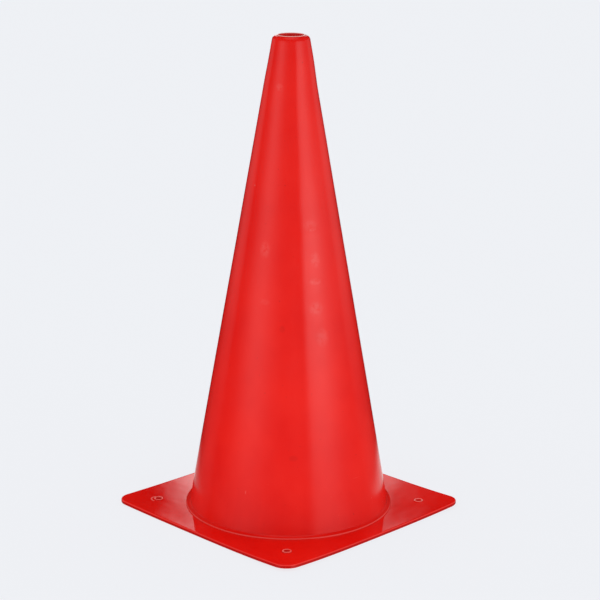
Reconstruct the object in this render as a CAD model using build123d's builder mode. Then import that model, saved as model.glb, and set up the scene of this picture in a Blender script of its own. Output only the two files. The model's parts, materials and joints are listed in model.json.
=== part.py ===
from build123d import *

import math
import os

# A light plastic traffic cone, in millimetres. It is two mouldings: a hollow tapered body, pushed up from
# below through a square base plate. The body's foot flange sits in a rebate under the plate, and pegs on the
# plate pass through the flange and are staked over. The origin is the centre of the base, on the ground, with
# +Z up and the plate's sides along X and Y.

# Driving dimensions
cone_height = 460.0
foot_radius = 97.3  # the outside of the wall, carried down to the ground
tip_radius = 16.6  # the outside of the wall, carried up to the full height
wall = 2.0
base_side = 240.0
base_thickness = 3.5
base_corner_radius = 14.0
joint_gap = 0.15  # between the body and the plate, all round

# Top of the body
opening_radius = 11.5
shoulder_radius = 4.3
rim_round = 1.4
lip_length = 6.0
lip_wall = 1.8
top_web = 3.0

# Foot flange, clear of the ground so that only the plate touches it
flange_bottom = 0.3
flange_top = 1.9
flange_radius = 107.0
flange_inner_round = 1.2

# Ribs high inside the body, just deep enough to stop a nested cone at this pitch
stack_pitch = 20.0
rib_count = 6
rib_width = 2.0
rib_top = 435.0
rib_length = 40.0
rib_lead_in = 4.0

# Collar round the cone's foot, on top of the plate
collar_width = 3.6
collar_height = 1.2
collar_round = 1.0

# Edges of the plate
edge_round = 1.2
ground_chamfer = 0.4
bore_lead_in = 0.5

# Four holes near the corners, for ground stakes or screws
stake_spacing = 180.0
stake_hole_radius = 3.0
stake_rim_radius = 4.7
stake_rim_height = 0.9
stake_rim_round = 0.8

# Pegs that hold the flange, staked over into its counterbores
peg_count = 8
peg_circle_radius = 102.0
peg_radius = 1.4
peg_head_radius = 2.3
peg_clearance = 0.15
peg_head_height = 0.6

slope = (foot_radius - tip_radius) / cone_height
half_angle = math.atan(slope)
wall_across = wall / math.cos(half_angle)
rib_height = stack_pitch * math.sin(half_angle) - wall


def outer_radius(z):
    """Radius of the outside of the body's wall at height z."""
    return foot_radius - slope * z


def inner_radius(z):
    """Radius of the inside of the body's wall at height z."""
    return outer_radius(z) - wall_across


# Body: one profile turned about the axis, then the stacking ribs and the holes for the pegs
lip_bottom = cone_height - lip_length
web_bottom = cone_height - top_web
lip_outer_radius = opening_radius + lip_wall
rib_bottom = rib_top - rib_length
rib_across = rib_height / math.cos(half_angle)
rib_full = rib_bottom + rib_lead_in  # above this height a rib has its full depth
rib_planes = [Plane.XZ.rotated((0, 0, 360 * turn / rib_count)) for turn in range(rib_count)]
under_flange = Plane(origin=(0, 0, flange_bottom), z_dir=(0, 0, -1))

with BuildPart() as cone_body:
    with BuildSketch(Plane.XZ) as body_profile:
        with BuildLine():
            Polyline(
                (inner_radius(flange_bottom), flange_bottom),
                (flange_radius, flange_bottom),
                (flange_radius, flange_top),
                (outer_radius(flange_top), flange_top),
                (tip_radius, cone_height),
                (opening_radius, cone_height),
                (opening_radius, lip_bottom),
                (lip_outer_radius, lip_bottom),
                (lip_outer_radius, web_bottom),
                (inner_radius(web_bottom), web_bottom),
                close=True,
            )
        make_face()
        fillet(body_profile.vertices().group_by(Axis.Y)[-1].sort_by(Axis.X)[-1], radius=shoulder_radius)
        fillet(body_profile.vertices().group_by(Axis.Y)[-1].sort_by(Axis.X)[0], radius=rim_round)
        fillet(body_profile.vertices().group_by(Axis.Y)[0].sort_by(Axis.X)[0], radius=flange_inner_round)
    revolve(axis=Axis.Z)

    # Stacking ribs, rooted halfway into the wall
    with BuildSketch(*rib_planes):
        Polygon(
            (inner_radius(rib_bottom) + wall / 2, rib_bottom),
            (inner_radius(rib_top) + wall / 2, rib_top),
            (inner_radius(rib_top) - rib_across, rib_top),
            (inner_radius(rib_full) - rib_across, rib_full),
            align=None,
        )
    extrude(amount=rib_width / 2, both=True)

    # Holes for the pegs, counterbored from below
    with Locations(under_flange):
        with PolarLocations(peg_circle_radius, peg_count):
            CounterBoreHole(
                radius=peg_radius + peg_clearance,
                counter_bore_radius=peg_head_radius + peg_clearance,
                counter_bore_depth=peg_head_height,
                depth=flange_top - flange_bottom,
            )

# Plate: the square with its collar and hole rims, opened for the body and rebated below for the flange
base_top = base_thickness
collar_top = base_top + collar_height
collar_radius = outer_radius(base_top) + collar_width
rim_top = base_top + stake_rim_height

with BuildPart() as base_plate:
    with BuildSketch(Plane.XY):
        RectangleRounded(base_side, base_side, base_corner_radius)
    extrude(amount=base_thickness)
    fillet(base_plate.faces().sort_by(Axis.Z)[-1].edges(), radius=edge_round)
    chamfer(base_plate.faces().sort_by(Axis.Z)[0].edges(), length=ground_chamfer)

    # Collar round the body's foot
    with BuildSketch(Plane.XY.offset(base_top)):
        Circle(collar_radius)
    extrude(amount=collar_height)
    fillet(base_plate.faces().sort_by(Axis.Z)[-1].edges(), radius=collar_round)

    # Raised rims of the stake holes
    with BuildSketch(Plane.XY.offset(base_top)):
        with GridLocations(stake_spacing, stake_spacing, 2, 2):
            Circle(stake_rim_radius)
    extrude(amount=stake_rim_height)
    fillet(base_plate.edges().filter_by_position(Axis.Z, rim_top, rim_top), radius=stake_rim_round)

    # Opening for the body, with the same taper, and the flange's rebate below it
    with BuildSketch(Plane.XZ):
        Polygon(
            (0, 0),
            (outer_radius(0) + joint_gap, 0),
            (outer_radius(collar_top) + joint_gap, collar_top),
            (0, collar_top),
            align=None,
        )
    revolve(axis=Axis.Z, mode=Mode.SUBTRACT)
    with BuildSketch(Plane.XY):
        Circle(flange_radius + joint_gap)
    extrude(amount=flange_top, mode=Mode.SUBTRACT)
    rebate_edges = base_plate.edges().filter_by_position(Axis.Z, flange_top, flange_top)
    chamfer(rebate_edges.sort_by(SortBy.RADIUS)[0], length=bore_lead_in)

    with GridLocations(stake_spacing, stake_spacing, 2, 2):
        Hole(radius=stake_hole_radius)

    # Pegs through the flange, and their staked heads
    with BuildSketch(Plane.XY.offset(flange_bottom)):
        with PolarLocations(peg_circle_radius, peg_count):
            Circle(peg_radius)
    extrude(amount=flange_top - flange_bottom)
    with BuildSketch(Plane.XY.offset(flange_bottom)):
        with PolarLocations(peg_circle_radius, peg_count):
            Circle(peg_head_radius)
    extrude(amount=peg_head_height)

os.makedirs("parts", exist_ok=True)
for name, piece in (("cone_body", cone_body), ("base_plate", base_plate)):
    piece.part.label = name
    export_step(piece.part, f"parts/{name}.step")
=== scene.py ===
import json
import math

import bpy
from mathutils import Matrix, Vector, noise


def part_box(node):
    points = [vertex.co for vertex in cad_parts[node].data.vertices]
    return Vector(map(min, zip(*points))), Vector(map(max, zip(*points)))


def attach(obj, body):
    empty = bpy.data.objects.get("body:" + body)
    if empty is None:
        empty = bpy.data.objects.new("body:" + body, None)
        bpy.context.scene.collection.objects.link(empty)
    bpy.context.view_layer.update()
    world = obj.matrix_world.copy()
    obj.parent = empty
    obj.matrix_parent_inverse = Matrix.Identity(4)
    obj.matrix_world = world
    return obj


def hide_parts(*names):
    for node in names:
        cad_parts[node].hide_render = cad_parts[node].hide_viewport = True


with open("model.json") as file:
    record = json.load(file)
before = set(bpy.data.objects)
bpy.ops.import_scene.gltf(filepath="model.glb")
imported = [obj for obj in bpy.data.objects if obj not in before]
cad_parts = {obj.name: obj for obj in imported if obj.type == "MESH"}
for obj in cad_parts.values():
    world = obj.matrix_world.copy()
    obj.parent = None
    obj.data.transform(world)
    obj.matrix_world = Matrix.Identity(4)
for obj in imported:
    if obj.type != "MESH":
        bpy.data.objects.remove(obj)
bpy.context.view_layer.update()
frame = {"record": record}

# A light red plastic traffic cone: a hollow tapered body that comes up through a square base plate. Both
# CAD nodes are replaced by finer meshes with the same sizes. Metres throughout, in the CAD's own frame.

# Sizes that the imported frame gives
record = frame["record"]
mounts = {mount["name"]: mount for mount in record["mounts"]}
body_low, body_high = (Vector(corner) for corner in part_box("cone_body"))
plate_high = Vector(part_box("base_plate")[1])
CONE_HEIGHT = body_high.z
FLANGE_RADIUS = body_high.x
FLANGE_BOTTOM = body_low.z
BASE_HALF = plate_high.x
COLLAR_TOP = plate_high.z
OPENING_RADIUS = mounts["top_opening"]["dims"]["r_mm"] / 1000
STAKE_SPACING = mounts["stake_holes"]["dims"]["spacing_x_mm"] / 1000
STAKE_HOLE_RADIUS = mounts["stake_holes"]["dims"]["hole_r_mm"] / 1000

# Sizes repeated from the CAD's driving dimensions
FOOT_RADIUS = 0.0973  # the outside of the wall, carried down to the ground
TIP_RADIUS = 0.0166  # the outside of the wall, carried up to the full height
WALL = 0.002
JOINT_GAP = 0.00015
FLANGE_TOP = 0.0019
FLANGE_INNER_ROUND = 0.0012
SHOULDER_RADIUS = 0.0043
LIP_LENGTH = 0.006
LIP_WALL = 0.0018
TOP_WEB = 0.003
RIB_COUNT = 6
RIB_HALF_WIDTH = 0.001
RIB_TOP = 0.435
RIB_BOTTOM = 0.395
RIB_DEPTH = 0.00148
RIB_END = 0.0002  # the height over which a rib's upper end rises from the wall
RIB_LEAD = 0.003  # and its lower end
PLATE_TOP = 0.0035
PLATE_CORNER = 0.014
COLLAR_WIDTH = 0.0036
COLLAR_ROUND = 0.0010
EDGE_ROUND = 0.0012
GROUND_CHAMFER = 0.0004
BORE_LEAD_IN = 0.0005
STAKE_RIM_RADIUS = 0.0047
STAKE_RIM_HEIGHT = 0.0009
STAKE_RIM_ROUND = 0.0008
PEG_COUNT = 8
PEG_CIRCLE = 0.102
PEG_RADIUS = 0.0014
PEG_HEAD_RADIUS = 0.0023
PEG_CLEARANCE = 0.00015
PEG_HEAD_HEIGHT = 0.0006
PEG_ROOT = 0.0005  # how far a peg's mesh runs up into the plate's

CUT_PAST = 0.001  # how far a cutting shape reaches past what it cuts

# Small shapes that only the visual model has
BODY_TURNS = 300  # how finely the body is divided round the axis
BODY_ROWS = 210  # and up its outside
WAVE_DEPTH = 0.00012  # the slow unevenness of the wall
RIPPLE_DEPTH = 0.00004
RELIEF_RISE = 0.01  # the height over which the unevenness sets in above the sleeve
ON_WALL = 0.0001  # how near the plain wall a point of the outline counts as being on it
BEAD_ROUND = 0.00105  # the bead round the top opening
BEAD_RISE = 0.0007  # how far the bead stands above the deck round it
BEAD_STEPS = 12
SLEEVE_TOP = 0.0064  # where the collar's sloping top runs out against the wall
SLEEVE_SHRINK = 0.00015  # how far its thin upper edge bites into the wall, so that no gap shows
SLEEVE_ROWS = 18
NECK_SWELL = 0.0003  # how much the wall swells out near the top
NECK_SWELL_FROM, NECK_SWELL_TO = 0.40, 0.44
NECK_LEAN = 0.0005  # how far the top leans to the front's right
NECK_LEAN_FROM, NECK_LEAN_TO = 0.41, 0.44
SHOULDER_OUT, SHOULDER_IN = 0.0147, 0.0137  # the swelling fades out between these radii, going inwards
PLATE_ROWS = 28  # how finely the plate's top is divided, from the collar out
EDGE_STEPS = 6
UNDERSIDE_ROWS = 12
RIM_SIDES = 48  # how finely the stake holes and their rims are divided
RIM_STEPS = 5
RIM_FLARE = 0.0006  # how far the stake holes open out at their top
CORNER_LIFTS = (  # the turn of each corner about Z in degrees, and how far it has curled up off the ground
    (-135, 0.0028),
    (-45, 0.0020),
    (45, 0.0005),
    (135, 0.0010),
)

# The side that faces the camera, as a turn about Z. Marks and lights are placed by turns counted from it.
FRONT = math.radians(-134.41)

SLOPE = (FOOT_RADIUS - TIP_RADIUS) / CONE_HEIGHT
HALF_ANGLE = math.atan(SLOPE)
WALL_ACROSS = WALL / math.cos(HALF_ANGLE)

# The camera, from the cone's axis on the ground
CAMERA_TURN = FRONT + math.pi / 2  # about the axis, from straight in front of the -Y side
CAMERA_DISTANCE = 1.7475
CAMERA_HEIGHT = 0.7043
CAMERA_PITCH = math.radians(15.876)
CAMERA_PAN = math.radians(0.330)
CAMERA_ROLL = math.radians(0.347)
LENS_MM = 114.56
SENSOR_MM = 36.0


def outer_radius(z):
    """Radius of the outside of the body's wall at height z."""
    return FOOT_RADIUS - SLOPE * z


def inner_radius(z):
    """Radius of the inside of the body's wall at height z."""
    return outer_radius(z) - WALL_ACROSS


def step(low, high, value):
    """0 up to low, 1 from high, and a smooth rise between them."""
    t = min(1.0, max(0.0, (value - low) / (high - low)))
    return t * t * (3 - 2 * t)


def bell(centre, left, right, value):
    """1 at the centre, falling off over one width below it and another above it."""
    width = left if value < centre else right
    return math.exp(-(((value - centre) / width) ** 2))


# Outlines

def run(start, end, steps):
    """Points from start towards end, in equal steps, without the end itself."""
    a, b = Vector(start), Vector(end)
    return [tuple(a.lerp(b, k / steps)) for k in range(steps)]


def rounded(before, corner, after, radius, steps):
    """Points of the arc that rounds a corner between two straight sides."""
    p, a, b = Vector(corner), Vector(before), Vector(after)
    u, v = (a - p).normalized(), (b - p).normalized()
    half = u.angle(v) / 2
    centre = p + (u + v).normalized() * (radius / math.sin(half))
    first = p + u * (radius / math.tan(half)) - centre
    last = p + v * (radius / math.tan(half)) - centre
    sweep = first.angle_signed(last)
    turns = [-sweep * k / steps for k in range(steps + 1)]
    return [tuple(centre + Matrix.Rotation(turn, 2) @ first) for turn in turns]


def mesh_piece(name, rings, capped=False):
    """A mesh whose surface runs through rings of points, each ring joined to the next one. The last ring
    joins the first one, or with capped both are filled in."""
    around = len(rings[0])
    points = [point for ring in rings for point in ring]
    faces = []
    for i in range(len(rings) - 1 if capped else len(rings)):
        j = (i + 1) % len(rings)
        for k in range(around):
            n = (k + 1) % around
            faces.append((i * around + k, i * around + n, j * around + n, j * around + k))
    if capped:
        faces.append(tuple(reversed(range(around))))
        faces.append(tuple(range(len(points) - around, len(points))))
    mesh = bpy.data.meshes.new(name)
    mesh.from_pydata(points, [], faces)
    mesh.update()
    piece = bpy.data.objects.new(name, mesh)
    bpy.context.scene.collection.objects.link(piece)
    return piece


def even_turns(around):
    return [2 * math.pi * k / around for k in range(around)]


def ring(radius, z, turns):
    """A ring of points, with one radius for all the turns or a list with one for each."""
    radii = radius if isinstance(radius, list) else [radius] * len(turns)
    return [(r * math.cos(turn), r * math.sin(turn), z) for r, turn in zip(radii, turns)]


def spindle(name, outline, around=32):
    """A solid turned from an open outline of (radius, height) points, with flat ends."""
    turns = even_turns(around)
    return mesh_piece(name, [ring(r, z, turns) for r, z in outline], capped=True)


def combine(piece, other, operation):
    """A boolean of two pieces, applied to the first one. The other one is used up."""
    modifier = piece.modifiers.new("combine", "BOOLEAN")
    modifier.operation = operation
    modifier.solver = "EXACT"
    modifier.object = other
    depsgraph = bpy.context.evaluated_depsgraph_get()
    result = bpy.data.meshes.new_from_object(piece.evaluated_get(depsgraph))
    piece.modifiers.clear()
    piece.data = result
    bpy.data.objects.remove(other)


def place(piece, x, y):
    piece.data.transform(Matrix.Translation((x, y, 0)))


def smooth(piece, angle=35):
    """Smooth shading, with edges sharper than the angle left sharp."""
    piece.data.polygons.foreach_set("use_smooth", [True] * len(piece.data.polygons))
    piece.data.set_sharp_from_angle(angle=math.radians(angle))


# The body

DENTS = [  # height, turn from the front in degrees, half height, half width, depth
    (0.313, 23, 0.012, 0.006, 0.00012),
    (0.290, 26, 0.0035, 0.007, 0.00016),
    (0.284, 26, 0.003, 0.007, -0.00010),
    (0.259, 27, 0.009, 0.0055, 0.00007),
    (0.239, 25, 0.0035, 0.007, 0.00006),
    (0.230, 27, 0.004, 0.007, -0.00011),
    (0.2145, 24.5, 0.007, 0.0075, 0.00009),
    (0.202, 26, 0.003, 0.008, -0.00011),
    (0.1875, 28.5, 0.009, 0.007, 0.00007),
    (0.268, -27, 0.009, 0.0065, 0.00008),
    (0.222, -24, 0.0025, 0.0045, 0.00012),
    (0.217, -22, 0.002, 0.003, 0.00010),
    (0.411, -24, 0.005, 0.004, 0.00016),
    (0.197, -6, 0.006, 0.004, 0.00012),
    (0.078, 3, 0.005, 0.008, 0.00010),
]
PAINTED_HIGHLIGHTS = [  # painted highlights, as pale hazes: height, turn from the front in degrees, half height, half width, share of whitening
    (0.290, 24, 0.007, 0.008, 0.046),
    (0.2865, 25.5, 0.0018, 0.006, 0.091),
    (0.259, 27, 0.010, 0.006, 0.078),
    (0.239, 25.4, 0.0040, 0.0075, 0.104),
    (0.2145, 24.4, 0.0085, 0.0085, 0.085),
    (0.1875, 28.5, 0.011, 0.008, 0.065),
    (0.268, -26.8, 0.010, 0.0065, 0.065),
    (0.2205, -23.4, 0.0035, 0.007, 0.033),
    (0.415, -24, 0.0045, 0.0045, 0.065),
    (0.324, -53.2, 0.0012, 0.0012, 0.156),
]


def body_relief(r, z, turn):
    """How far the outside of the wall stands out at a height and turn: a slow unevenness of the moulding
    and a few shallow dents."""
    x, y = r * math.cos(turn), r * math.sin(turn)
    relief = WAVE_DEPTH * noise.noise(Vector((x * 22, y * 22, z * 13)))
    relief += RIPPLE_DEPTH * noise.noise(Vector((x * 70, y * 70, z * 45 + 7)))
    for height, degrees, half_height, half_width, depth in DENTS:
        along = (z - height) / half_height
        off = (turn - FRONT - math.radians(degrees) + math.pi) % (2 * math.pi) - math.pi
        across = off * r / half_width
        relief -= depth * math.exp(-along * along - across * across)
    return relief


def body_shape(r, z, turn):
    """The radius of the body's surface: the wall's relief outside, and the stacking ribs inside."""
    swell = NECK_SWELL * step(NECK_SWELL_FROM, NECK_SWELL_TO, z) * step(SHOULDER_IN, SHOULDER_OUT, r)
    swell += NECK_LEAN * step(NECK_LEAN_FROM, NECK_LEAN_TO, z) * math.cos(turn - FRONT - math.pi / 2)
    if z > FLANGE_TOP + ON_WALL and abs(r - outer_radius(z)) < ON_WALL:
        return r + swell + step(SLEEVE_TOP, SLEEVE_TOP + RELIEF_RISE, z) * body_relief(r, z, turn)
    if RIB_BOTTOM <= z <= RIB_TOP and abs(r - inner_radius(z)) < ON_WALL:
        pitch = 2 * math.pi / RIB_COUNT
        off = abs((turn + pitch / 2) % pitch - pitch / 2) * r
        if off <= RIB_HALF_WIDTH:
            return r + swell - RIB_DEPTH
    return r + swell


def make_body():
    lip_bottom = CONE_HEIGHT - LIP_LENGTH
    web_bottom = CONE_HEIGHT - TOP_WEB
    lip_outer = OPENING_RADIUS + LIP_WALL
    deck = CONE_HEIGHT - BEAD_RISE
    foot = (inner_radius(FLANGE_BOTTOM), FLANGE_BOTTOM)
    flange_low, flange_high = (FLANGE_RADIUS, FLANGE_BOTTOM), (FLANGE_RADIUS, FLANGE_TOP)
    root = (outer_radius(FLANGE_TOP), FLANGE_TOP)
    shoulder, bead = (outer_radius(deck), deck), (OPENING_RADIUS + 2 * BEAD_ROUND, deck)
    lip, web = (OPENING_RADIUS, lip_bottom), (inner_radius(web_bottom), web_bottom)
    foot_arc = rounded(web, foot, flange_low, FLANGE_INNER_ROUND, 6)
    shoulder_arc = rounded(root, shoulder, bead, SHOULDER_RADIUS, 14)
    bead_arc = []
    for k in range(BEAD_STEPS + 1):
        turn = math.radians(20 + 160 * k / BEAD_STEPS)
        r = OPENING_RADIUS + BEAD_ROUND * (1 + math.cos(turn))
        bead_arc.append((r, CONE_HEIGHT - BEAD_ROUND * (1 - math.sin(turn))))
    rib_high = (inner_radius(RIB_TOP + RIB_END), RIB_TOP + RIB_END)
    rib_top = (inner_radius(RIB_TOP), RIB_TOP)
    rib_low = (inner_radius(RIB_BOTTOM), RIB_BOTTOM)
    rib_lead = (inner_radius(RIB_BOTTOM - RIB_LEAD), RIB_BOTTOM - RIB_LEAD)
    outline = [
        *foot_arc,
        *run(foot_arc[-1], flange_low, 6)[1:],
        flange_low,
        flange_high,
        *run(flange_high, root, 4)[1:],
        *run(root, shoulder_arc[0], BODY_ROWS),
        *shoulder_arc,
        *bead_arc,
        *run(bead_arc[-1], lip, 4)[1:],
        lip,
        (lip_outer, lip_bottom),
        (lip_outer, web_bottom),
        web,
        *run(web, rib_high, 4)[1:],
        rib_high,
        *run(rib_top, rib_low, 8),
        rib_low,
        *run(rib_lead, foot_arc[0], 40),
    ]
    turns = even_turns(BODY_TURNS)
    rings = [ring([body_shape(r, z, turn) for turn in turns], z, turns) for r, z in outline]
    body = mesh_piece("cone_shell", rings)
    for peg in range(PEG_COUNT):
        combine(body, peg_shape(peg, PEG_CLEARANCE), "DIFFERENCE")
    return body


def peg_shape(peg, grow):
    """One staked peg of the plate, which runs up into the plate, or with grow the space for it in the
    flange."""
    top = FLANGE_TOP + (CUT_PAST if grow else PEG_ROOT)
    low = FLANGE_BOTTOM - (CUT_PAST if grow else 0.0)
    head = FLANGE_BOTTOM + PEG_HEAD_HEIGHT
    outline = [
        (PEG_HEAD_RADIUS + grow, low),
        (PEG_HEAD_RADIUS + grow, head),
        (PEG_RADIUS + grow, head),
        (PEG_RADIUS + grow, top),
    ]
    solid = spindle("peg", outline)
    turn = 2 * math.pi * peg / PEG_COUNT
    place(solid, PEG_CIRCLE * math.cos(turn), PEG_CIRCLE * math.sin(turn))
    return solid


# The base plate

def square_path(half, corner, side_steps, corner_steps):
    """Points round a square with round corners, anticlockwise, with the corners divided more finely."""
    path = []
    inner = half - corner
    for k in range(4):
        quarter = Matrix.Rotation(k * math.pi / 2, 2)
        for n in range(side_steps):
            path.append(quarter @ Vector((half, -inner + 2 * inner * n / side_steps)))
        for n in range(corner_steps):
            turn = math.pi / 2 * n / corner_steps
            offset = Vector((corner * math.cos(turn), corner * math.sin(turn)))
            path.append(quarter @ (Vector((inner, inner)) + offset))
    return path


def plate_lift(x, y):
    """How far the plate stands off the ground at a point. Its corners have curled up, each by its own
    amount."""
    reach, turn = math.hypot(x, y), math.atan2(y, x)
    corner_reach = BASE_HALF * math.sqrt(2) - (math.sqrt(2) - 1) * PLATE_CORNER
    rise = max(0.0, (reach - FLANGE_RADIUS) / (corner_reach - FLANGE_RADIUS)) ** 2
    lift = 0.0
    for degrees, height in CORNER_LIFTS:
        lift += height * max(0.0, math.cos(turn - math.radians(degrees))) ** 2
    return rise * lift


def add_stake_hole(plate, x, y):
    """A raised rim on the plate, and the hole through both, which opens out at its top."""
    rim_top = PLATE_TOP + STAKE_RIM_HEIGHT
    rim_edge = (STAKE_RIM_RADIUS, rim_top)
    rim_arc = rounded((0, rim_top), rim_edge, (STAKE_RIM_RADIUS, 0), STAKE_RIM_ROUND, RIM_STEPS)
    rim = spindle("rim", [(STAKE_RIM_RADIUS, PLATE_TOP / 2), *reversed(rim_arc)], RIM_SIDES)
    place(rim, x, y)
    combine(plate, rim, "UNION")
    outline = [(STAKE_HOLE_RADIUS, -CUT_PAST), (STAKE_HOLE_RADIUS, rim_top - RIM_FLARE)]
    for k in range(1, RIM_STEPS + 1):
        turn = math.pi / 2 * k / RIM_STEPS
        r = STAKE_HOLE_RADIUS + RIM_FLARE * (1 - math.cos(turn))
        outline.append((r, rim_top - RIM_FLARE * (1 - math.sin(turn))))
    past_flare = STAKE_HOLE_RADIUS + 1.2 * RIM_FLARE
    outline += [(past_flare, rim_top + 0.0001), (past_flare, rim_top + CUT_PAST)]
    hole = spindle("hole", outline, RIM_SIDES)
    place(hole, x, y)
    combine(plate, hole, "DIFFERENCE")


def make_plate():
    path = square_path(BASE_HALF, PLATE_CORNER, side_steps=72, corner_steps=20)
    turns = [math.atan2(p.y, p.x) for p in path]
    reaches = [p.length for p in path]
    collar_radius = outer_radius(PLATE_TOP) + COLLAR_WIDTH
    bore_high = (outer_radius(COLLAR_TOP) + JOINT_GAP, COLLAR_TOP)
    bore_top = (outer_radius(SLEEVE_TOP) - SLEEVE_SHRINK, SLEEVE_TOP)
    rebate = FLANGE_RADIUS + JOINT_GAP
    bore_low = outer_radius(FLANGE_TOP) + JOINT_GAP
    collar_corner, collar_foot = (collar_radius, COLLAR_TOP), (collar_radius, PLATE_TOP)
    sleeve = []
    for k in range(1, SLEEVE_ROWS + 1):
        down = k / (SLEEVE_ROWS + 1)
        z = SLEEVE_TOP - (SLEEVE_TOP - COLLAR_TOP) * down
        sleeve.append((outer_radius(z) - SLEEVE_SHRINK + (COLLAR_WIDTH + SLEEVE_SHRINK) * down**2, z))
    collar_arc = rounded(sleeve[-2], collar_corner, collar_foot, COLLAR_ROUND, 6)
    inside = [
        (rebate, 0.0),
        (rebate, FLANGE_TOP),
        *run((rebate, FLANGE_TOP), (bore_low + BORE_LEAD_IN, FLANGE_TOP), 3)[1:],
        (bore_low + BORE_LEAD_IN, FLANGE_TOP),
        (bore_low, FLANGE_TOP + BORE_LEAD_IN),
        bore_high,
        bore_top,
        *[point for point in sleeve if point[0] < collar_arc[0][0] - 0.0001],
        *collar_arc,
        collar_foot,
    ]
    rings = [ring(r, z, turns) for r, z in inside]

    def across(start, inset, share, z):
        """A ring that lies a share of the way from the radius start to the plate's edge, less the inset."""
        radii = [start + (reach - inset - start) * share for reach in reaches]
        return ring(radii, z, turns)

    for k in range(1, PLATE_ROWS):
        rings.append(across(collar_radius, EDGE_ROUND, k / PLATE_ROWS, PLATE_TOP))
    for k in range(EDGE_STEPS + 1):
        turn = math.pi / 2 * k / EDGE_STEPS
        inset = EDGE_ROUND * (1 - math.sin(turn))
        rings.append(across(rebate, inset, 1.0, PLATE_TOP - EDGE_ROUND * (1 - math.cos(turn))))
    rings.append(across(rebate, 0.0, 1.0, GROUND_CHAMFER))
    for k in range(UNDERSIDE_ROWS, 0, -1):
        rings.append(across(rebate, GROUND_CHAMFER, k / UNDERSIDE_ROWS, 0.0))
    plate = mesh_piece("plate_shell", rings)
    half = STAKE_SPACING / 2
    for x, y in ((-half, -half), (-half, half), (half, -half), (half, half)):
        add_stake_hole(plate, x, y)
    for peg in range(PEG_COUNT):
        combine(plate, peg_shape(peg, 0.0), "UNION")
    for vertex in plate.data.vertices:
        vertex.co.z += plate_lift(vertex.co.x, vertex.co.y)
    return plate


# Materials

RED = (0.86, 0.0080, 0.0040)
DEEP_RED = (0.80, 0.0055, 0.0030)
BRIGHT_RED = (0.89, 0.0115, 0.0060)
WORN_RED = (0.88, 0.060, 0.045)
WHITENING_AND_HIGHLIGHT = (0.94, 0.46, 0.42)  # where bending, cutting or rubbing has whitened the plastic, as at the nick; also the painted highlights on the bead, the hazes and the plate's rounded top edge
PAINTED_HIGHLIGHT = (1.0, 0.22, 0.19)  # painted highlight on the brightest thin edges: the stake hole rims, a crescent by one hole, the collar
DUST = (0.50, 0.33, 0.28)
# A dark red for specks and smears, and for painted shade on the collar's sloping top and the plate's cut
# edges
GRIME_AND_SHADE = (0.20, 0.006, 0.004)
CRESCENT_SIDE = math.radians(130)  # the side of one stake hole where a crescent of painted highlight lies, as a turn about Z
CRESCENT_SHIFT = 0.0012  # from the hole's middle to the crescent's
CRESCENT_RADIUS = 0.0060


def add(tree, kind, sockets, **settings):
    """A shader node with its settings, and its sockets set to values or linked from other outputs."""
    node = tree.nodes.new("ShaderNode" + kind)
    for name, value in settings.items():
        setattr(node, name, value)
    for name, value in sockets.items():
        if isinstance(value, bpy.types.NodeSocket):
            tree.links.new(value, node.inputs[name])
        else:
            node.inputs[name].default_value = value
    return node


def count(tree, operation, *values):
    return add(tree, "Math", dict(enumerate(values)), operation=operation).outputs[0]


def product(tree, first, *others):
    """Masks and plain shares multiplied together."""
    for other in others:
        first = count(tree, "MULTIPLY", first, other)
    return first


def distance(tree, first, second):
    """How far apart two numbers are."""
    return count(tree, "ABSOLUTE", count(tree, "SUBTRACT", first, second))


def difference(tree, first, second):
    return add(tree, "VectorMath", {0: first, 1: second}, operation="SUBTRACT").outputs[0]


def dot(tree, first, second):
    return add(tree, "VectorMath", {0: first, 1: second}, operation="DOT_PRODUCT").outputs["Value"]


def length(tree, vector):
    return add(tree, "VectorMath", {0: vector}, operation="LENGTH").outputs["Value"]


def fade(tree, value, low, high, top=1.0):
    """0 up to low, and top from high, with a smooth rise between them. low may be the larger one."""
    sockets = {"Value": value, "From Min": low, "From Max": high, "To Max": top}
    return add(tree, "MapRange", sockets, interpolation_type="SMOOTHSTEP").outputs[0]


def grain(tree, where, scale, detail=2.0, stretch=(1, 1, 1)):
    """Noise of so many waves a metre, from about 0.2 to 0.8."""
    moved = add(tree, "Mapping", {"Vector": where, "Scale": stretch}).outputs[0]
    return add(tree, "TexNoise", {"Vector": moved, "Scale": scale, "Detail": detail}).outputs[0]


def tint(tree, share, first, second):
    """A colour between two others. The first may be an output."""
    sockets = {0: share, 7: (*second, 1)}
    sockets[6] = first if isinstance(first, bpy.types.NodeSocket) else (*first, 1)
    return add(tree, "Mix", sockets, data_type="RGBA").outputs[2]


def stain(tree, colour, mask, share, second):
    """The colour, moved towards a second one by up to the share, as far as the mask goes."""
    return tint(tree, fade(tree, mask, 0.0, 1.0, share), colour, second)


def dull(tree, roughness, mask, amount):
    """The roughness, raised by up to the amount, as far as the mask goes."""
    return count(tree, "ADD", roughness, fade(tree, mask, 0.0, 1.0, amount))


def mark(tree, where, centre, half_sizes):
    """1 at a point of the object, falling to 0 at half_sizes from it along X, Y and Z."""
    off = difference(tree, where, centre)
    scaled = add(tree, "VectorMath", {0: off, 1: half_sizes}, operation="DIVIDE").outputs[0]
    return fade(tree, length(tree, scaled), 1.0, 0.3)


def scratches(tree, where, direction, low, high):
    """Fine scratches that run roughly one way."""
    stretch = (6, 260, 260)
    turned = add(tree, "Mapping", {"Vector": where, "Rotation": direction, "Scale": stretch}).outputs[0]
    lines = add(tree, "TexNoise", {"Vector": turned, "Scale": 4.0, "Detail": 3.0}).outputs[0]
    return fade(tree, lines, low, high)


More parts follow.
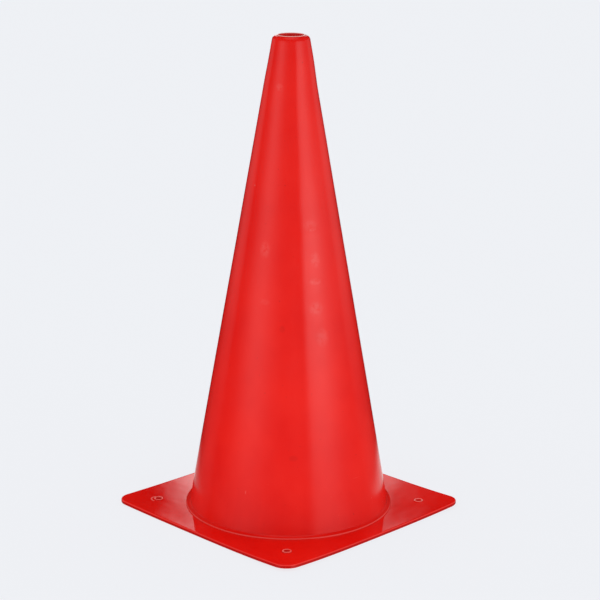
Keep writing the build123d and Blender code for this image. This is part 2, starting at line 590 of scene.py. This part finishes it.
class Plastic:
    """A red plastic, and what both plastics read of the surface: the place on the object, which way it
    faces, and the slow clouds and streaks of the moulding."""

    def __init__(self, name):
        self.material = bpy.data.materials.new(name)
        self.material.use_nodes = True
        self.tree = tree = self.material.node_tree
        sources = tree.nodes.new("ShaderNodeTexCoord").outputs
        self.where = sources["Object"]
        self.x, self.y, self.z = add(tree, "SeparateXYZ", {0: self.where}).outputs
        flat = add(tree, "CombineXYZ", {0: self.x, 1: self.y}).outputs[0]
        self.reach = length(tree, flat)
        self.up = add(tree, "SeparateXYZ", {0: sources["Normal"]}).outputs[2]
        self.under = fade(tree, self.up, -0.35, -0.75)
        self.inward = fade(tree, dot(tree, flat, sources["Normal"]), -0.002, -0.006)
        clouds = grain(tree, self.where, 14.0, 3.0)
        self.streaks = grain(tree, self.where, 3.0, 4.0, (45, 45, 2.2))
        red = tint(tree, fade(tree, clouds, 0.30, 0.70), DEEP_RED, BRIGHT_RED)
        self.red = tint(tree, fade(tree, self.streaks, 0.35, 0.75, 0.5), red, RED)

    def dusted(self, colour, mask):
        """The colour with patchy dust over it, as far as the mask goes."""
        patches = fade(self.tree, grain(self.tree, self.where, 38.0, 5.0), 0.25, 0.75)
        return stain(self.tree, colour, product(self.tree, mask, patches), 0.16, DUST)

    def finish(self, colour, roughness, bumps):
        """Joins the colour, the roughness and the bumps to the shader. Each bump is a height and its size
        in metres."""
        tree = self.tree
        shader = tree.nodes["Principled BSDF"]
        shader.inputs["IOR"].default_value = 1.5
        tree.links.new(colour, shader.inputs["Base Color"])
        tree.links.new(roughness, shader.inputs["Roughness"])
        normal = None
        for height, size in bumps:
            sockets = {"Height": height, "Distance": size, "Strength": 1.0}
            if normal:
                sockets["Normal"] = normal
            normal = add(tree, "Bump", sockets).outputs[0]
        tree.links.new(normal, shader.inputs["Normal"])
        return self.material


def side_point(height, degrees):
    """A point on the outside of the wall, at a turn counted from the front."""
    turn = FRONT + math.radians(degrees)
    return outer_radius(height) * math.cos(turn), outer_radius(height) * math.sin(turn), height


def body_plastic():
    """Semi-gloss red plastic: cloudy and faintly streaked along the flow, scuffed most at both ends,
    with a whitened nick, painted highlights in a few places and on the bead, dull and dusty inside."""
    face = Plastic("body_plastic")
    tree = face.tree
    hidden = count(tree, "MAXIMUM", face.inward, face.under)
    blotches = grain(tree, face.where, 60.0, 3.0)
    fine = grain(tree, face.where, 900.0, 2.0)
    speckles = fade(tree, grain(tree, face.where, 420.0, 1.0), 0.74, 0.80)
    lines = scratches(tree, face.where, (0.5, 1.2, 0.3), 0.70, 0.78)
    cross_lines = scratches(tree, face.where, (1.3, 0.2, 1.9), 0.71, 0.79)
    scratched = count(tree, "MAXIMUM", lines, cross_lines)
    low_down = fade(tree, face.z, 0.12, 0.01)
    high_up = fade(tree, face.z, 0.40, 0.455)
    handled = count(tree, "MAXIMUM", low_down, high_up)
    scuffs = product(tree, scratched, count(tree, "MULTIPLY_ADD", handled, 0.4, 0.4))
    # A painted highlight, patchy, on the bead round the top opening
    bead = fade(tree, face.z, CONE_HEIGHT - 0.0006, CONE_HEIGHT - 0.0002)
    bead = product(tree, bead, fade(tree, blotches, 0.0, 0.40))
    nick = mark(tree, face.where, side_point(0.043, -26.6), (0.0009, 0.0009, 0.0034))
    smear = mark(tree, face.where, side_point(0.197, -6), (0.004, 0.004, 0.005))
    low_smear = mark(tree, face.where, side_point(0.078, 3), (0.006, 0.006, 0.004))
    smears = count(tree, "MAXIMUM", smear, low_smear)

    colour = stain(tree, face.red, scuffs, 0.30, WORN_RED)
    patchy = fade(tree, grain(tree, face.where, 260.0, 3.0), 0.25, 0.62)
    # Painted highlights: pale hazes at the listed places on the wall
    for height, degrees, half_height, half_width, share in PAINTED_HIGHLIGHTS:
        highlight_haze = mark(tree, face.where, side_point(height, degrees), (half_width, half_width, half_height))
        colour = tint(tree, product(tree, highlight_haze, patchy, share), colour, WHITENING_AND_HIGHLIGHT)
    colour = stain(tree, colour, speckles, 0.20, GRIME_AND_SHADE)
    colour = stain(tree, colour, smears, 0.10, GRIME_AND_SHADE)
    colour = tint(tree, fade(tree, nick, 0.3, 1.0, 0.12), colour, WHITENING_AND_HIGHLIGHT)
    colour = tint(tree, bead, colour, WHITENING_AND_HIGHLIGHT)
    colour = face.dusted(colour, product(tree, hidden, fade(tree, face.z, 0.40, 0.25)))

    roughness = count(tree, "MULTIPLY_ADD", blotches, 0.07, 0.125)
    roughness = dull(tree, roughness, scuffs, 0.20)
    roughness = dull(tree, roughness, hidden, 0.22)
    bumps = [(face.streaks, 0.00003), (blotches, 0.00004), (fine, 0.000006), (scuffs, -0.00001)]
    return face.finish(colour, roughness, bumps)


def base_plastic():
    """Glossy red plastic: slightly wavy, smudged and scratched, with painted highlights round the stake
    holes, along the collar and on the rounded top edge, painted shade on its cut edges and on the collar's
    sloping top, dull and dusty underneath."""
    face = Plastic("base_plastic")
    tree = face.tree
    waves = grain(tree, face.where, 34.0, 2.0)
    smudges = grain(tree, face.where, 55.0, 4.0, (1.0, 0.5, 1.0))
    fine = grain(tree, face.where, 1100.0, 2.0)
    lines = scratches(tree, face.where, (0.0, 0.0, 0.7), 0.68, 0.76)
    cross_lines = scratches(tree, face.where, (0.0, 0.0, 2.2), 0.69, 0.77)
    scratched = count(tree, "MAXIMUM", lines, cross_lines)

    # Painted highlights round the stake holes
    half = STAKE_SPACING / 2
    hole_x = count(tree, "SUBTRACT", count(tree, "ABSOLUTE", face.x), half)
    hole_y = count(tree, "SUBTRACT", count(tree, "ABSOLUTE", face.y), half)
    from_hole = length(tree, add(tree, "CombineXYZ", {0: hole_x, 1: hole_y}).outputs[0])
    crest = STAKE_HOLE_RADIUS + 0.6 * RIM_FLARE
    crest_inside = fade(tree, from_hole, crest - 0.0005, crest)
    crest_outside = fade(tree, from_hole, STAKE_RIM_RADIUS - 0.0001, STAKE_RIM_RADIUS - 0.0006)
    crest_high = fade(tree, face.z, PLATE_TOP + 0.0001, PLATE_TOP + 0.0004)
    # A painted highlight on the crest of each stake hole's rim
    rim = product(tree, crest_inside, crest_outside, crest_high, fade(tree, smudges, 0.20, 0.45))
    # A crescent of painted highlight beside one stake hole
    side = (math.cos(CRESCENT_SIDE), math.sin(CRESCENT_SIDE), 0.0)
    crescent_centre = (CRESCENT_SHIFT * side[0] - half, CRESCENT_SHIFT * side[1] + half, PLATE_TOP)
    from_crescent = difference(tree, face.where, crescent_centre)
    off_ring = distance(tree, length(tree, from_crescent), CRESCENT_RADIUS)
    crescent_highlight = fade(tree, off_ring, 0.0009, 0.0003)
    crescent_highlight = product(tree, crescent_highlight, fade(tree, dot(tree, from_crescent, side), 0.001, 0.0035))

    # Along the collar and the plate's edges: painted highlights and painted shade
    # A thin painted highlight along the collar's rounded top edge
    collar_edge = outer_radius(PLATE_TOP) + COLLAR_WIDTH - 0.35 * COLLAR_ROUND
    off_edge = distance(tree, face.reach, collar_edge)
    collar = product(tree, fade(tree, off_edge, 0.0006, 0.0002), fade(tree, face.z, 0.0038, 0.0041))
    on_sleeve = fade(tree, face.reach, collar_edge + 0.0006, collar_edge)
    # Painted shade on the collar's sloping top, strongest towards its foot
    crease_shade = product(tree, on_sleeve, fade(tree, face.z, SLEEVE_TOP, COLLAR_TOP))
    far_out = fade(tree, face.reach, 0.110, 0.112)
    # Painted shade on the plate's cut edges, less of it inside the stake holes
    cut_edge = product(tree, fade(tree, count(tree, "ABSOLUTE", face.up), 0.30, 0.05), far_out)
    # A painted highlight on the plate's rounded top edge
    edge_highlight = product(tree, fade(tree, face.up, 0.25, 0.50), fade(tree, face.up, 0.995, 0.95), far_out)
    in_hole = product(tree, cut_edge, fade(tree, from_hole, 0.005, 0.004))
    edge_shade = count(tree, "SUBTRACT", cut_edge, product(tree, in_hole, 0.45))

    colour = stain(tree, face.red, scratched, 0.10, WORN_RED)
    colour = stain(tree, colour, crease_shade, 0.04, GRIME_AND_SHADE)
    colour = stain(tree, colour, edge_highlight, 0.07, WHITENING_AND_HIGHLIGHT)
    colour = tint(tree, rim, colour, PAINTED_HIGHLIGHT)
    colour = stain(tree, colour, crescent_highlight, 0.8, PAINTED_HIGHLIGHT)
    colour = stain(tree, colour, collar, 0.22, PAINTED_HIGHLIGHT)
    colour = stain(tree, colour, edge_shade, 0.48, GRIME_AND_SHADE)
    colour = face.dusted(colour, face.under)

    roughness = count(tree, "MULTIPLY_ADD", smudges, 0.06, 0.045)
    roughness = dull(tree, roughness, scratched, 0.05)
    roughness = dull(tree, roughness, rim, 0.06)
    roughness = dull(tree, roughness, on_sleeve, 0.10)
    roughness = dull(tree, roughness, face.under, 0.35)
    bumps = [(waves, 0.00016), (fine, 0.000002), (scratched, -0.000004)]
    return face.finish(colour, roughness, bumps)


body = make_body()
plate = make_plate()
for piece, node, slot, material in (
    (body, "cone_body", "body_plastic", body_plastic()),
    (plate, "base_plate", "base_plastic", base_plastic()),
):
    smooth(piece)
    piece.data.materials.append(material)
    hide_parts(node)
    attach(piece, "root")


# The stage: a pale floor and backdrop, an even pale light from all round, and glowing cards that only
# reflections see. Turns about the axis are counted in degrees from the front, to the right.

PALE = (0.855, 0.871, 0.905)
FLOOR_RADIUS = 14.0
FLOOR_DIFFUSE = 0.12  # the share of the floor's tone that shadows can darken
FLOOR_LIGHT = 0.83  # the light that falls on the open floor
BACKDROP_BOTTOM, BACKDROP_TOP = -0.5, 9.0
SKY = (0.985, 0.99, 1.0)
LIGHT_AIM = 0.15  # the height on the axis that the soft lights are aimed at
HORIZON_LIGHT = 0.76
OVERHEAD_LIGHT = 0.95
ROUND_STEPS = 96  # how finely the floor, the drum and the flat round cards are divided
RING_RADIUS = 1.3
RING_BOTTOM, RING_TOP = -0.6, 1.5
RING_COLUMNS, RING_ROWS = 360, 84
SHEET_HALF_WIDTH = 0.32  # to the left and right of the axis, as the camera sees it
SHEET_NEAR, SHEET_FAR = 0.02, 0.28  # behind the axis
SHEET_Z = -0.002
SHEET_MIDDLE = 0.095  # out to here on either side the sheet fades with the distance behind the axis alone
SHEET_STEPS = 32
BOUNCE_INSIDE, BOUNCE_OUTSIDE = 0.175, 0.7
BOUNCE_Z = 0.0004
BOUNCE_LIGHT = 0.85
BOUNCE_EXTRA = 0.45  # near the object, over the light farther out


def new_material(name):
    material = bpy.data.materials.new(name)
    material.use_nodes = True
    tree = material.node_tree
    tree.nodes.clear()
    return material, tree, tree.nodes.new("ShaderNodeOutputMaterial")


def stage_piece(name, points, faces, material, camera=False, diffuse=False, glossy=False):
    mesh = bpy.data.meshes.new(name)
    mesh.from_pydata(points, [], faces)
    piece = bpy.data.objects.new(name, mesh)
    bpy.context.scene.collection.objects.link(piece)
    mesh.materials.append(material)
    piece.visible_camera = camera
    piece.visible_diffuse = diffuse
    piece.visible_glossy = glossy
    piece.visible_transmission = False
    piece.visible_volume_scatter = False
    piece.visible_shadow = False
    return piece


def glowing_piece(name, points, levels, faces, material, **seen):
    """A stage piece whose material glows as strongly as the level at each point says."""
    card = stage_piece(name, points, faces, material, **seen)
    card.data.attributes.new("level", "FLOAT", "POINT").data.foreach_set("value", levels)


def band_faces(bands, around=ROUND_STEPS):
    """Faces between rings of points, each ring closed on itself."""
    faces = []
    for i in range(bands):
        for k in range(around):
            n = (k + 1) % around
            faces.append((i * around + k, i * around + n, (i + 1) * around + n, (i + 1) * around + k))
    return faces


def pale_glow(name, share):
    """A material that glows in the pale tone, at a share of it."""
    material, tree, out = new_material(name)
    glow = tree.nodes.new("ShaderNodeEmission")
    glow.inputs["Color"].default_value = (*PALE, 1)
    glow.inputs["Strength"].default_value = share
    tree.links.new(glow.outputs[0], out.inputs["Surface"])
    return material, tree, out, glow


def level_glow(name):
    """A glow as strong as the mesh's own level, not yet joined to the material's output."""
    material, tree, out = new_material(name)
    glow = tree.nodes.new("ShaderNodeEmission")
    level = tree.nodes.new("ShaderNodeAttribute")
    level.attribute_name = "level"
    tree.links.new(level.outputs["Fac"], glow.inputs["Strength"])
    return material, tree, out, glow.outputs[0]


def card_glow(name):
    material, tree, out, glow = level_glow(name)
    tree.links.new(glow, out.inputs["Surface"])
    return material


def clear_glow(name):
    """A glow that hides nothing that lies behind it."""
    material, tree, out, glow = level_glow(name)
    both = tree.nodes.new("ShaderNodeAddShader")
    tree.links.new(glow, both.inputs[0])
    tree.links.new(tree.nodes.new("ShaderNodeBsdfTransparent").outputs[0], both.inputs[1])
    tree.links.new(both.outputs[0], out.inputs["Surface"])
    return material


def upward_glow(name):
    """A glow on the upper side only. From below it isn't there."""
    material, tree, out, glow = level_glow(name)
    either = tree.nodes.new("ShaderNodeMixShader")
    tree.links.new(tree.nodes.new("ShaderNodeNewGeometry").outputs["Backfacing"], either.inputs[0])
    tree.links.new(glow, either.inputs[1])
    tree.links.new(tree.nodes.new("ShaderNodeBsdfTransparent").outputs[0], either.inputs[2])
    tree.links.new(either.outputs[0], out.inputs["Surface"])
    return material


def disc(radius, z):
    return ring(radius, z, even_turns(ROUND_STEPS))


def make_floor():
    material, tree, out, glow = pale_glow("floor_pale", 1 - FLOOR_DIFFUSE * FLOOR_LIGHT)
    matte = tree.nodes.new("ShaderNodeBsdfDiffuse")
    matte.inputs["Color"].default_value = (*(FLOOR_DIFFUSE * c for c in PALE), 1)
    both = tree.nodes.new("ShaderNodeAddShader")
    tree.links.new(glow.outputs[0], both.inputs[0])
    tree.links.new(matte.outputs[0], both.inputs[1])
    tree.links.new(both.outputs[0], out.inputs["Surface"])
    face = tuple(range(ROUND_STEPS))
    stage_piece("floor", disc(FLOOR_RADIUS, 0.0), [face], material, camera=True, diffuse=True)


def make_backdrop():
    """A drum round the floor with a lid, seen only by the camera, so that every view ends in the same pale
    tone."""
    points = disc(FLOOR_RADIUS, BACKDROP_BOTTOM) + disc(FLOOR_RADIUS, BACKDROP_TOP)
    lid = tuple(range(ROUND_STEPS, 2 * ROUND_STEPS))
    material = pale_glow("backdrop_pale", 1.0)[0]
    stage_piece("backdrop", points, [*band_faces(1), lid], material, camera=True)


def ring_glow(turn, z):
    """How bright the ring of cards is at a turn, from -180 to 180 degrees, and a height."""
    # Darker low down and high up
    rise = 0.30 + 0.70 * step(-0.12, 0.22, z)
    rise *= 1 - 0.9 * step(0.66, 0.95, z)
    # A soft card on the left, a brighter one on the right with a crisp inner edge, a faint one between
    left = 0.82 * bell(-53, 24, 25, turn)
    right = 1.40 * bell(46, 30, 24, turn) * step(20, 33, turn) + 0.32 * bell(84, 30, 30, turn)
    right *= 1 + 0.30 * bell(0.32, 0.05, 0.06, z) - 0.22 * step(0.38, 0.52, z)
    front = 0.12 * bell(0, 70, 70, turn)
    # Faint cards far round on both sides, for the cone's edges
    sides = 0.28 * bell(118, 22, 26, abs(turn)) * (0.2 + 0.8 * step(103, 106, abs(turn)))
    sides *= 1 + 0.6 * (1 - step(-0.45, -0.12, z))
    # A narrow panel straight behind, with a darker line across it, for the plate's top
    off_back = 180 - abs(turn)
    if turn < 0:
        panel = 1.30 * (1 - step(7.2, 8.9, off_back))
    else:
        panel = 0.70 * (1 - step(7.0, 8.5, off_back))
    panel *= (1 - 0.72 * bell(0.546, 0.014, 0.014, z)) * (1.38 - 0.38 * step(0.50, 0.54, z))
    panel *= step(0.32, 0.42, z) * (1 - step(0.85, 1.0, z))
    return rise * (left + right + front + sides) + panel


def make_ring():
    """A standing ring of soft cards round the cone."""
    points, levels = [], []
    for i in range(RING_ROWS + 1):
        z = RING_BOTTOM + (RING_TOP - RING_BOTTOM) * i / RING_ROWS
        turns = [k * 360 / RING_COLUMNS - 180 for k in range(RING_COLUMNS)]
        points += ring(RING_RADIUS, z, [FRONT + math.radians(turn) for turn in turns])
        levels += [ring_glow(turn, z) for turn in turns]
    faces = band_faces(RING_ROWS, RING_COLUMNS)
    glowing_piece("card_ring", points, levels, faces, card_glow("card_ring"), glossy=True)


def flat_rings(inside, outside, z, glow):
    """Points of flat rings between two radii, the glow at each, and the faces between them, which look
    down."""
    bands = 24
    points, levels = [], []
    for i in range(bands + 1):
        r = inside + (outside - inside) * i / bands
        points += disc(r, z)
        levels += [glow(r)] * ROUND_STEPS
    return points, levels, band_faces(bands)


def make_overhead(radius, soft_from, z, level):
    """A flat round card above the cone, with a soft edge."""
    points, levels, faces = flat_rings(0.001, radius, z, lambda r: level * (1 - step(soft_from, radius, r)))
    glowing_piece("card_overhead", points, levels, faces, card_glow("card_overhead"), glossy=True)


def make_bounce():
    """Extra light off the floor near the object, on matte shading only, and only upwards."""
    points, levels, faces = flat_rings(
        BOUNCE_INSIDE,
        BOUNCE_OUTSIDE,
        BOUNCE_Z,
        lambda r: BOUNCE_LIGHT + BOUNCE_EXTRA * (1 - step(0.3, BOUNCE_OUTSIDE, r)),
    )
    upwards = [face[::-1] for face in faces]
    glowing_piece("floor_bounce", points, levels, upwards, upward_glow("floor_bounce"), diffuse=True)


def sheet_glow(x, y):
    """How bright the sheet is at a point, x to the right of the axis and y behind it, as the camera sees
    it."""
    if x < 0:
        level = (0.36 + 0.75 * (1 - step(0.09, 0.13, -x))) * (1 - step(0.12, 0.21, -x))
    else:
        level = (0.62 + 0.75 * (1 - step(0.09, 0.13, x))) * (1 - step(0.15, 0.27, x))
    reach = math.hypot(y, max(0.0, abs(x) - SHEET_MIDDLE))
    return level * step(0.055, 0.09, reach) * (1 - step(0.15, 0.24, reach))


def make_sheet():
    """A white sheet under the back of the object, which the edges of the cone's foot mirror."""
    points, levels, faces = [], [], []
    for i in range(SHEET_STEPS + 1):
        for k in range(SHEET_STEPS + 1):
            x = SHEET_HALF_WIDTH * (2 * k / SHEET_STEPS - 1)
            y = SHEET_NEAR + (SHEET_FAR - SHEET_NEAR) * i / SHEET_STEPS
            points.append(tuple(Matrix.Rotation(CAMERA_TURN, 3, "Z") @ Vector((x, y, SHEET_Z))))
            levels.append(sheet_glow(x, y))
            if i < SHEET_STEPS and k < SHEET_STEPS:
                n = i * (SHEET_STEPS + 1) + k
                faces.append((n, n + 1, n + SHEET_STEPS + 2, n + SHEET_STEPS + 1))
    glowing_piece("card_sheet", points, levels, faces, clear_glow("card_sheet"), glossy=True)


def make_world():
    """The light from all round, a little brighter overhead, for soft shading only."""
    world = bpy.data.worlds.new("studio")
    bpy.context.scene.world = world
    world.use_nodes = True
    tree = world.node_tree
    where = tree.nodes.new("ShaderNodeTexCoord")
    split = tree.nodes.new("ShaderNodeSeparateXYZ")
    fall = tree.nodes.new("ShaderNodeMapRange")
    fall.inputs["From Min"].default_value = 0.0
    fall.inputs["From Max"].default_value = 1.0
    fall.inputs["To Min"].default_value = HORIZON_LIGHT
    fall.inputs["To Max"].default_value = OVERHEAD_LIGHT
    background = tree.nodes["Background"]
    background.inputs["Color"].default_value = (*SKY, 1)
    tree.links.new(where.outputs["Generated"], split.inputs[0])
    tree.links.new(split.outputs["Z"], fall.inputs["Value"])
    tree.links.new(fall.outputs[0], background.inputs["Strength"])
    world.cycles.sampling_method = "NONE"  # so that gloss doesn't pick the light up through light sampling
    world.cycles_visibility.glossy = False


def soft_light(name, turn, distance, height, size, watts):
    """A large round light that only matte shading sees, aimed at the lower part of the cone."""
    light = bpy.data.lights.new(name, "AREA")
    light.shape = "DISK"
    light.size = size
    light.energy = watts
    lamp = bpy.data.objects.new(name, light)
    angle = FRONT + math.radians(turn)
    spot = Vector((distance * math.cos(angle), distance * math.sin(angle), height))
    aim = (spot - Vector((0, 0, LIGHT_AIM))).to_track_quat("Z", "Y").to_matrix().to_4x4()
    lamp.matrix_world = Matrix.Translation(spot) @ aim
    lamp.visible_glossy = False
    lamp.visible_camera = False
    bpy.context.scene.collection.objects.link(lamp)


make_floor()
make_backdrop()
make_ring()
make_sheet()
make_bounce()
make_overhead(radius=0.75, soft_from=0.45, z=1.9, level=0.5)
make_world()
soft_light("key", turn=50, distance=2.2, height=0.9, size=1.4, watts=1.8)
soft_light("low_fill", turn=8, distance=1.3, height=0.12, size=0.5, watts=0.7)

camera_data = bpy.data.cameras.new("camera")
camera_data.lens = LENS_MM
camera_data.sensor_width = SENSOR_MM
camera_data.clip_end = 100
camera = bpy.data.objects.new("camera", camera_data)
camera.matrix_world = (
    Matrix.Rotation(CAMERA_TURN, 4, "Z")
    @ Matrix.Translation((0, -CAMERA_DISTANCE, CAMERA_HEIGHT))
    @ Matrix.Rotation(-CAMERA_PAN, 4, "Z")
    @ Matrix.Rotation(math.pi / 2 - CAMERA_PITCH, 4, "X")
    @ Matrix.Rotation(CAMERA_ROLL, 4, "Z")
)
bpy.context.scene.collection.objects.link(camera)
bpy.context.scene.camera = camera
bpy.context.scene.view_settings.view_transform = "Standard"
